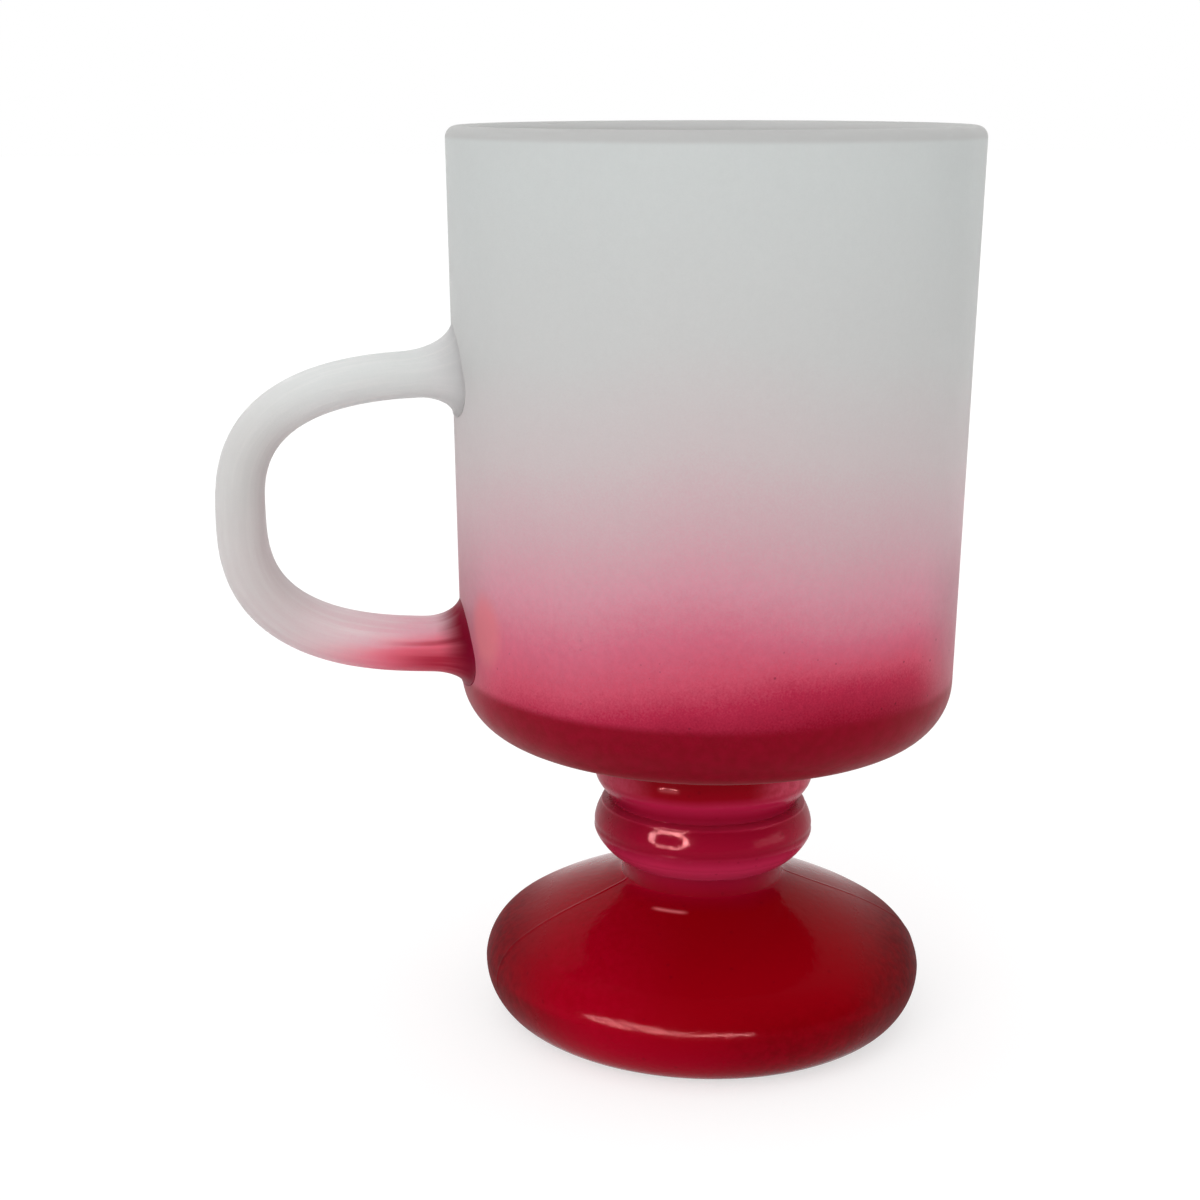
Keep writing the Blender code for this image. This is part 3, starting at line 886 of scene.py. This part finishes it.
def across_front(wires, place, radius):
    """Where a point lies across the front, from -1 on the handle's side to 1 on the far side."""
    x, y, _ = wires.parts(place)
    level = wires.times(wires.sum("SUBTRACT", x, CUP_AXIS), math.cos(FRONT_TURN) / radius)
    return wires.sum("MULTIPLY_ADD", y, math.sin(FRONT_TURN) / radius, level)


def frosted_cup():
    """Frosted coat outside the cup, white at the lip and red at the base."""
    material, wires, shader, place = new_material("frosted_cup_coat")
    z = wires.parts(place)[2]
    # The red stands higher at the front than at both sides, partly from the spray and partly as a painted
    # sheen that makes the frost paler where it is seen edge-on, and the red ran deeper on the far side
    beside = across_front(wires, place, BASE_RADIUS)
    aside = wires.sum("ABSOLUTE", beside)
    arch_and_sheen = wires.sum("ADD", wires.between(aside, *CUP_ARCH_AND_SHEEN), wires.between(aside, *CUP_ARCH_AND_SHEEN_ENDS))
    far_side = wires.times(wires.between(beside, *FAR_SIDE_START), wires.between(beside, *FAR_SIDE_END))
    deeper = wires.between(z, *FAR_SIDE_DROP)
    height = wires.sum("MULTIPLY_ADD", far_side, deeper, wires.sum("ADD", z, arch_and_sheen))
    colour = grouped(wires, SPRAY_FADE, place, height, CUP_DRIFT, CUP_MIST)["Coat Colour"]
    specks = grouped(wires, SPRAY_SPECKS, place, *CUP_SPECKS)["Specks"]
    low = wires.times(wires.between(z, *CUP_SPECKS_HEIGHT), wires.between(beside, *CUP_SPECKS_ACROSS))
    colour = tinted(wires, colour, CUP_SPECKS_TINT, specks, low)
    # Painted sheen: the coat is greyer at both sides, where the frost is seen edge-on
    thin = wires.times(wires.between(aside, *GRAZING_SHEEN_ACROSS), wires.between(z, *GRAZING_SHEEN_HEIGHT))
    colour = tinted(wires, colour, GRAZING_SHEEN_TINT, thin)
    # Painted light: a paler rose patch beside the handle's lower pad, where the pad shows through the wall
    away = []
    for part, middle, half in zip(wires.parts(place), PAD_SHOWS_THROUGH_MIDDLE, PAD_SHOWS_THROUGH_HALF):
        away.append(wires.sum("DIVIDE", wires.sum("SUBTRACT", part, middle), half))
    pad_shows_through = wires.add("ShaderNodeVectorMath", {0: wires.vector(*away)}, operation="LENGTH").outputs["Value"]
    colour = tinted(wires, colour, PAD_SHOWS_THROUGH_TINT, wires.between(pad_shows_through, *PAD_SHOWS_THROUGH_EDGE))
    # Painted shade: the base below the inside floor is darker than the wall above it, which gets light from
    # inside the cup
    base_shade = wires.between(z, FLOOR_SHOWS + BASE_BLUR, FLOOR_SHOWS - BASE_BLUR)
    base_shade = wires.times(base_shade, wires.between(aside, *BASE_ACROSS))
    clouded = wires.between(noise(wires, place, scale=700.0, detail=3.0, roughness=0.6), *BASE_CLOUDS)
    colour = mixed(wires, base_shade, colour, mixed(wires, clouded, *BASE_SHADED_REDS))
    colour = tinted(wires, colour, LIP_TINT, wires.between(z, *LIP_BAND))
    grain = grouped(wires, FROST_GRAIN, place, FROST_SCALE, *CUP_ROUGHNESS)
    bumped(wires, shader, grain["Grain"], FROST_DEPTH)
    wires.fill(shader, {
        "Base Color": colour, "Roughness": grain["Roughness"], "Transmission Weight": CUP_PASSES,
        "IOR": FROST_BENDS, "Specular IOR Level": FROST_GLOSS, "Sheen Weight": CUP_SHEEN,
        "Sheen Roughness": CUP_SHEEN_SPREAD, "Sheen Tint": CUP_SHEEN_COLOUR})
    return material


def satin_inside():
    """Satin glass inside the cup, which shows the coat's colour below, a little wavy from pressing."""
    material, wires, shader, place = new_material("bare_glass_inside")
    height = wires.parts(place)[2]
    colour = grouped(wires, SPRAY_FADE, place, height, CUP_DRIFT, 0.0)["Coat Colour"]
    colour = mixed(wires, wires.between(height, *INSIDE_CLEAR), colour, INSIDE_COLOUR)
    satin = wires.between(noise(wires, place, scale=140.0, detail=4.0, roughness=0.6), *INSIDE_ROUGHNESS)
    bumped(wires, shader, noise(wires, place, scale=60.0), INSIDE_WAVE)
    wires.fill(shader, {"Base Color": colour, "Roughness": satin, "Transmission Weight": INSIDE_PASSES,
                        "IOR": INSIDE_BENDS})
    return material


def frosted_bar(length):
    """Frosted coat of the handle: pale, with drawn streaks, red under its lower arm towards the cup, and
    painted shade at both pads.
    """
    material, wires, shader, place = new_material("frosted_handle_coat")
    bar_place = wires.add("ShaderNodeAttribute", attribute_name="bar_place").outputs["Vector"]
    outer, sideways, along = wires.parts(bar_place)
    left = wires.sum("SUBTRACT", length, along)
    near_cup = wires.between(left, *ARM_NEAR_CUP)
    lift = wires.between(near_cup, *ARM_LIFT, smooth=False)
    height = wires.sum("ADD", wires.parts(place)[2], lift)
    colour = grouped(wires, SPRAY_FADE, place, height, BAR_DRIFT, BAR_MIST)["Coat Colour"]
    drawn = wires.vector(outer, sideways, wires.times(along, STREAK_DRAWN))
    streaks = noise(wires, drawn, scale=5.0, detail=3.0, roughness=0.6)
    colour = mixed(wires, wires.between(streaks, *STREAK_WHITE), colour, STREAK_COLOUR)
    from_bow = wires.sum("ABSOLUTE", wires.sum("SUBTRACT", along, BOW_MIDDLE * length))
    bow = wires.between(from_bow, BOW_ENDS[0] * length, BOW_ENDS[1] * length)
    colour = tinted(wires, colour, BOW_TINT, bow)
    # Red under the lower arm, which spreads towards the cup
    spread = wires.sum("MULTIPLY_ADD", swing(wires, streaks), RED_WAVER, outer)
    spread = wires.sum("SUBTRACT", spread, wires.between(left, *RED_START, smooth=False))
    reach = wires.between(left, *RED_REACH)
    colour = tinted(wires, colour, RED_TINT, wires.between(spread, *RED_EDGE), reach)
    # One thin dark run along the middle of the arm, and a broad one below it
    drawn = wires.vector(outer, sideways, wires.times(along, RUN_DRAWN))
    level = wires.sum("MULTIPLY_ADD", swing(wires, noise(wires, drawn, scale=3.0)), RUN_WAVER, outer)
    off_run = wires.sum("ABSOLUTE", wires.sum("SUBTRACT", level, THIN_RUN_PLACE))
    runs = wires.sum("MAXIMUM", wires.between(off_run, *THIN_RUN_EDGE), wires.between(level, *BROAD_RUN_EDGE))
    dark = wires.times(runs, wires.between(left, *RUN_REACH), wires.between(streaks, *RUN_STREAKS))
    colour = mixed(wires, dark, colour, RUN_COLOUR)
    colour = tinted(wires, colour, UNDERSIDE_TINT, wires.between(outer, *UNDERSIDE_EDGE), near_cup)
    # Both pads, with painted shade: dark maroon in the thick lower pad, and a lilac-grey crease at the upper
    # pad
    from_pad = wires.sum("MULTIPLY_ADD", swing(wires, streaks), LOWER_PAD_WAVER, left)
    from_pad = wires.sum("MULTIPLY_ADD", outer, LOWER_PAD_LEAN, from_pad)
    colour = mixed(wires, wires.between(from_pad, *LOWER_PAD_SHADE_REACH), colour, LOWER_PAD_SHADE)
    colour = tinted(wires, colour, UPPER_PAD_SHADE_TINT, wires.between(along, *UPPER_PAD_SHADE_REACH))
    grain = grouped(wires, FROST_GRAIN, place, FROST_SCALE, *BAR_ROUGHNESS)
    bumped(wires, shader, wires.sum("MULTIPLY_ADD", streaks, STREAK_BUMP, grain["Grain"]), FROST_DEPTH)
    wires.fill(shader, {
        "Base Color": colour, "Roughness": grain["Roughness"], "Transmission Weight": BAR_PASSES,
        "IOR": FROST_BENDS, "Specular IOR Level": FROST_GLOSS, "Subsurface Weight": BAR_GLOWS,
        "Subsurface Radius": (1.0, 1.0, 1.0), "Subsurface Scale": GLOW_REACH})
    return material


def short_ripple(wires, place, by_radius, middle, half, span):
    """1 on the crest of a short raised line in the coat, which curls a part of the way round."""
    x, y, z = wires.parts(place)
    x = wires.sum("SUBTRACT", x, CUP_AXIS)
    across = wires.sum("SQRT", wires.sum("ADD", wires.times(x, x), wires.times(y, y))) if by_radius else z
    away = wires.sum("ABSOLUTE", wires.sum("SUBTRACT", wires.sum("ARCTAN2", y, x), RIPPLE_TURN))
    off = wires.sum("DIVIDE", wires.sum("SUBTRACT", across, middle), half)
    crest = wires.sum("EXPONENT", wires.times(off, off, -1.0))
    return wires.times(crest, wires.between(away, span, 0.5 * span))


def red_coat(name, colours, sides, radius, gloss, roughness, dullness, ripple):
    """Glossy red coat of the stem or the foot: colours by height and at the sides, with painted light, shade
    and reflection, and one short ripple with a painted highlight.
    """
    material, wires, shader, place = new_material(name)
    z = wires.parts(place)[2]
    cloud = swing(wires, noise(wires, place, scale=90.0, detail=3.0, roughness=0.55))
    colour = graded(wires, wires.sum("MULTIPLY_ADD", cloud, COAT_DRIFT, z), colours)
    mottle = wires.between(noise(wires, place, scale=850.0, detail=3.0, roughness=0.6), *SIDE_MOTTLE)
    # Painted light and shade at the sides
    for which, side_radius, heights, across, share, side_colour in sides:
        aside = across_front(wires, place, side_radius)
        if which == "both":
            aside = wires.sum("ABSOLUTE", aside)
        elif which == "near":
            aside = wires.times(aside, -1.0)
        side = wires.times(wires.between(aside, *across), wires.between(z, *heights, 0.0, share), mottle)
        colour = mixed(wires, side, colour, side_colour)
    specks = grouped(wires, SPRAY_SPECKS, place, *RED_SPECKS)["Specks"]
    colour = tinted(wires, colour, RED_SPECKS_TINT, specks)
    # The crest of the ripple is painted paler, a painted highlight
    raised = short_ripple(wires, place, ripple["by_radius"], ripple["middle"], ripple["half"], ripple["span"])
    colour = mixed(wires, wires.times(raised, ripple["thin"]), colour, RIPPLE_HIGHLIGHT_COLOUR)
    # Overspray dried dull at both sides
    grain = grouped(wires, FROST_GRAIN, place, COAT_GRAIN_SCALE, *roughness)
    aside = wires.sum("ABSOLUTE", across_front(wires, place, radius))
    dull = wires.sum("ADD", grain["Roughness"], wires.between(aside, *DULL_SIDES, 0.0, dullness))
    peel = noise(wires, place, scale=900.0, detail=1.0)
    height = wires.sum("MULTIPLY_ADD", peel, COAT_PEEL / COAT_GRAIN, grain["Grain"])
    height = wires.sum("MULTIPLY_ADD", raised, ripple["tall"] / COAT_GRAIN, height)
    bumped(wires, shader, height, COAT_GRAIN)
    wires.fill(shader, {"Base Color": colour, "Roughness": dull, "Specular IOR Level": gloss,
                        "Specular Tint": COAT_SHINE})
    return material


# Pieces

cup_coat = frosted_cup()
cup_finish = satin_inside()
stem_coat = red_coat("red_stem_coat", **STEM_COAT)
foot_coat = red_coat("red_foot_coat", **FOOT_COAT)
TURNED, TURNED_NAMES = turned_glass_tree()
BAR, BAR_NAMES = bent_bar_tree()


def turned_piece(name, outline, coat, finish=None, finish_points=0, steps=ROUND_STEPS, seams=NO_SEAMS):
    first, second, height, width, seam_points = seams
    source = line_mesh(name + "_outline", [(radius, 0.0, height_up) for radius, height_up in outline])
    return plain_piece(name, source, TURNED, TURNED_NAMES, {
        "Steps Round": steps, "Axis": CUP_AXIS, "Inside Points": finish_points, "Seam Points": seam_points,
        "First Seam": math.radians(first), "Second Seam": math.radians(second), "Seam Height": height,
        "Seam Width": width, "Coat": coat, "Inside Finish": finish or coat})


inner_line = cup_inside()
cup = turned_piece("cup", inner_line + cup_outside(), cup_coat, cup_finish, len(inner_line) - LIP_STEPS)
collar = turned_piece("collar_ring", collar_outline(), stem_coat)
knop = turned_piece("knop_swell", knop_outline(), stem_coat)
neck = turned_piece("neck_band", neck_outline(), stem_coat)
foot = turned_piece("domed_foot", foot_outline(), foot_coat, steps=FOOT_STEPS, seams=FOOT_SEAMS)
bar_line, bar_length = handle_mesh()
handle = plain_piece("bent_handle", bar_line, BAR, BAR_NAMES, {
    "Steps Round": BAR_STEPS, "Squareness": BAR_SQUARENESS, "Axis": CUP_AXIS,
    "Wall Radius": BASE_RADIUS - WALL_TAPER * CORNER_HEIGHT, "Wall Taper": WALL_TAPER,
    "Pad Spread": PAD_SPREAD, "Coat": frosted_bar(bar_length)})

for piece, slot, nodes in ((cup, "frosted_cup", ("bowl",)), (handle, "frosted_handle", ("handle",)),
                           (collar, "red_stem", ("stem_collar",)), (knop, "red_stem", ("stem_knop",)),
                           (neck, "red_stem", ("stem_neck",)), (foot, "red_foot", ("foot",))):
    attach(piece, "root")
    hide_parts(*nodes)


# Camera, floor and light

def picture_camera():
    """The camera of the picture, a little above the rim and to the handle's side."""
    ahead = Vector((math.sin(CAMERA_YAW) * math.cos(CAMERA_DOWN),
                    math.cos(CAMERA_YAW) * math.cos(CAMERA_DOWN), -math.sin(CAMERA_DOWN)))
    level = Vector((math.cos(CAMERA_YAW), -math.sin(CAMERA_YAW), 0.0))
    upright = level.cross(ahead)
    right = level * math.cos(CAMERA_ROLL) + upright * math.sin(CAMERA_ROLL)
    up = -level * math.sin(CAMERA_ROLL) + upright * math.cos(CAMERA_ROLL)
    data = bpy.data.cameras.new("picture_camera")
    data.sensor_width = CAMERA_SENSOR
    data.lens = CAMERA_LENS
    data.shift_x, data.shift_y = CAMERA_SHIFT
    data.clip_start, data.clip_end = CAMERA_CLIP
    camera = bpy.data.objects.new("picture_camera", data)
    turn = Matrix((right, up, -ahead)).transposed().to_4x4()
    camera.matrix_world = Matrix.Translation(Vector(CAMERA_PLACE)) @ turn
    bpy.context.scene.collection.objects.link(camera)
    bpy.context.scene.camera = camera


def seen_directly(wires):
    """1 for rays from the camera, a reflection or through glass, and 0 for soft light."""
    path = wires.add("ShaderNodeLightPath").outputs
    shown = wires.sum("ADD", path["Is Camera Ray"], path["Is Glossy Ray"])
    return wires.sum("MINIMUM", wires.sum("ADD", shown, path["Is Transmission Ray"]), 1.0)


def studio_world():
    """White studio, with a dim room behind the camera that only reflections show."""
    world = bpy.data.worlds.new("white_studio")
    world.use_nodes = True
    bpy.context.scene.world = world
    wires = Wiring(world.node_tree)
    background = world.node_tree.nodes["Background"]
    background.inputs["Color"].default_value = WHITE
    level = wires.between(seen_directly(wires), 0.0, 1.0, ROOM_LIGHT, 1.0, smooth=False)
    seen = wires.add("ShaderNodeTexCoord").outputs["Generated"]
    toward = wires.add("ShaderNodeVectorMath", {0: seen, 1: DIM_SIDE}, operation="DOT_PRODUCT")
    dimmed = wires.between(toward.outputs["Value"], *DIM_EDGE, 0.0, 1.0 - ROOM_DIM)
    dimmed = wires.times(dimmed, wires.add("ShaderNodeLightPath").outputs["Is Glossy Ray"])
    wires.feed(background.inputs["Strength"], wires.times(level, wires.sum("SUBTRACT", 1.0, dimmed)))


def stage_piece(name, points, faces):
    """A mesh for the studio with an empty material, and that material's wiring and surface socket."""
    mesh = bpy.data.meshes.new(name)
    mesh.from_pydata(points, [], faces)
    piece = bpy.data.objects.new(name, mesh)
    bpy.context.scene.collection.objects.link(piece)
    material = bpy.data.materials.new(name)
    material.use_nodes = True
    nodes = material.node_tree.nodes
    nodes.remove(nodes["Principled BSDF"])
    mesh.materials.append(material)
    return piece, Wiring(material.node_tree), nodes["Material Output"].inputs["Surface"]


def pale_floor():
    """A white floor that keeps the mug's soft shadow."""
    half = 0.5 * STUDIO_FLOOR_SIZE
    level = STUDIO_FLOOR_LEVEL
    corners = [(-half, -half, level), (half, -half, level), (half, half, level), (-half, half, level)]
    floor, wires, surface = stage_piece("pale_floor", corners, [(0, 1, 2, 3)])
    lit = wires.add("ShaderNodeBsdfDiffuse", {"Color": STUDIO_FLOOR_COLOUR}).outputs[0]
    shown = wires.add("ShaderNodeBsdfDiffuse", {"Color": STUDIO_FLOOR_SHOWN}).outputs[0]
    glow = wires.add("ShaderNodeEmission", {"Strength": STUDIO_FLOOR_GLOW}).outputs[0]
    both = wires.add("ShaderNodeAddShader", {0: shown, 1: glow}).outputs[0]
    whole = wires.add("ShaderNodeMixShader", {0: seen_directly(wires), 1: lit, 2: both})
    wires.feed(surface, whole.outputs[0])


def soft_box():
    """A large soft lamp over the camera's left shoulder."""
    data = bpy.data.lights.new("soft_box", "AREA")
    data.shape = "DISK"
    data.size = SOFT_BOX_SIZE
    data.energy = SOFT_BOX_WATTS
    lamp = bpy.data.objects.new("soft_box", data)
    place = Vector(SOFT_BOX_PLACE)
    lamp.matrix_world = Matrix.Translation(place) @ (-place).to_track_quat("-Z", "Y").to_matrix().to_4x4()
    lamp.visible_glossy = False
    bpy.context.scene.collection.objects.link(lamp)


def lamp_direction(turn, lift):
    turn, lift = math.radians(turn), math.radians(lift)
    return Vector((math.cos(turn) * math.cos(lift), math.sin(turn) * math.cos(lift), math.sin(lift)))


def band_lamp(name, first_row, second_row, ring, level, pieces):
    """A band-shaped lamp between two rows of points, which only shows as a shine on the given pieces."""
    points = [point for pair in zip(first_row, second_row) for point in pair]
    count = len(first_row)
    faces = []
    for step in range(count if ring else count - 1):
        here, there = 2 * step, 2 * ((step + 1) % count)
        faces.append((here, here + 1, there + 1, there))
    lamp, wires, surface = stage_piece(name, points, faces)
    wires.feed(surface, wires.add("ShaderNodeEmission", {"Strength": level}).outputs[0])
    lamp.visible_camera = False
    lamp.visible_diffuse = False
    lamp.visible_transmission = False
    shows_in = bpy.data.collections.new(name + "_shows_in")
    for piece in pieces:
        shows_in.objects.link(piece)
    lamp.light_linking.receiver_collection = shows_in


def ring_lamp(name, pieces, lift, half_wide, half_tall, band, level):
    """An upright oval ring, in front of the mug on the handle's side."""
    toward = lamp_direction(RING_TURN, lift)
    side = Vector((0.0, 0.0, 1.0)).cross(toward).normalized()
    up = toward.cross(side)
    rows = []
    for grown in (0.0, band):
        row = []
        for step in range(RING_STEPS):
            angle = 2.0 * math.pi * step / RING_STEPS
            row.append(LAMP_AIM + toward * LAMP_AWAY + side * math.cos(angle) * (half_wide + grown)
                       + up * math.sin(angle) * (half_tall + grown))
        rows.append(row)
    band_lamp(name, *rows, True, level, pieces)


def bowed_lamp(name, pieces, lifts, turns, steps, level):
    """A level strip or panel that bows round a part of the mug."""
    first, last = turns
    rows = []
    for lift in lifts:
        row = []
        for step in range(steps + 1):
            turn = first + (last - first) * step / steps
            row.append(LAMP_AIM + LAMP_AWAY * lamp_direction(turn, lift))
        rows.append(row)
    band_lamp(name, *rows, False, level, pieces)


stem_pieces = (collar, knop, neck)
picture_camera()
studio_world()
pale_floor()
bowed_lamp("side_panel", stem_pieces, **STEM_PANEL)
ring_lamp("stem_ring_lamp", stem_pieces, **STEM_RING)
ring_lamp("foot_ring_lamp", (foot,), **FOOT_RING)
bowed_lamp("strip_lamp", (foot,), **FOOT_STRIP)
soft_box()
bpy.context.scene.view_settings.view_transform = "Standard"
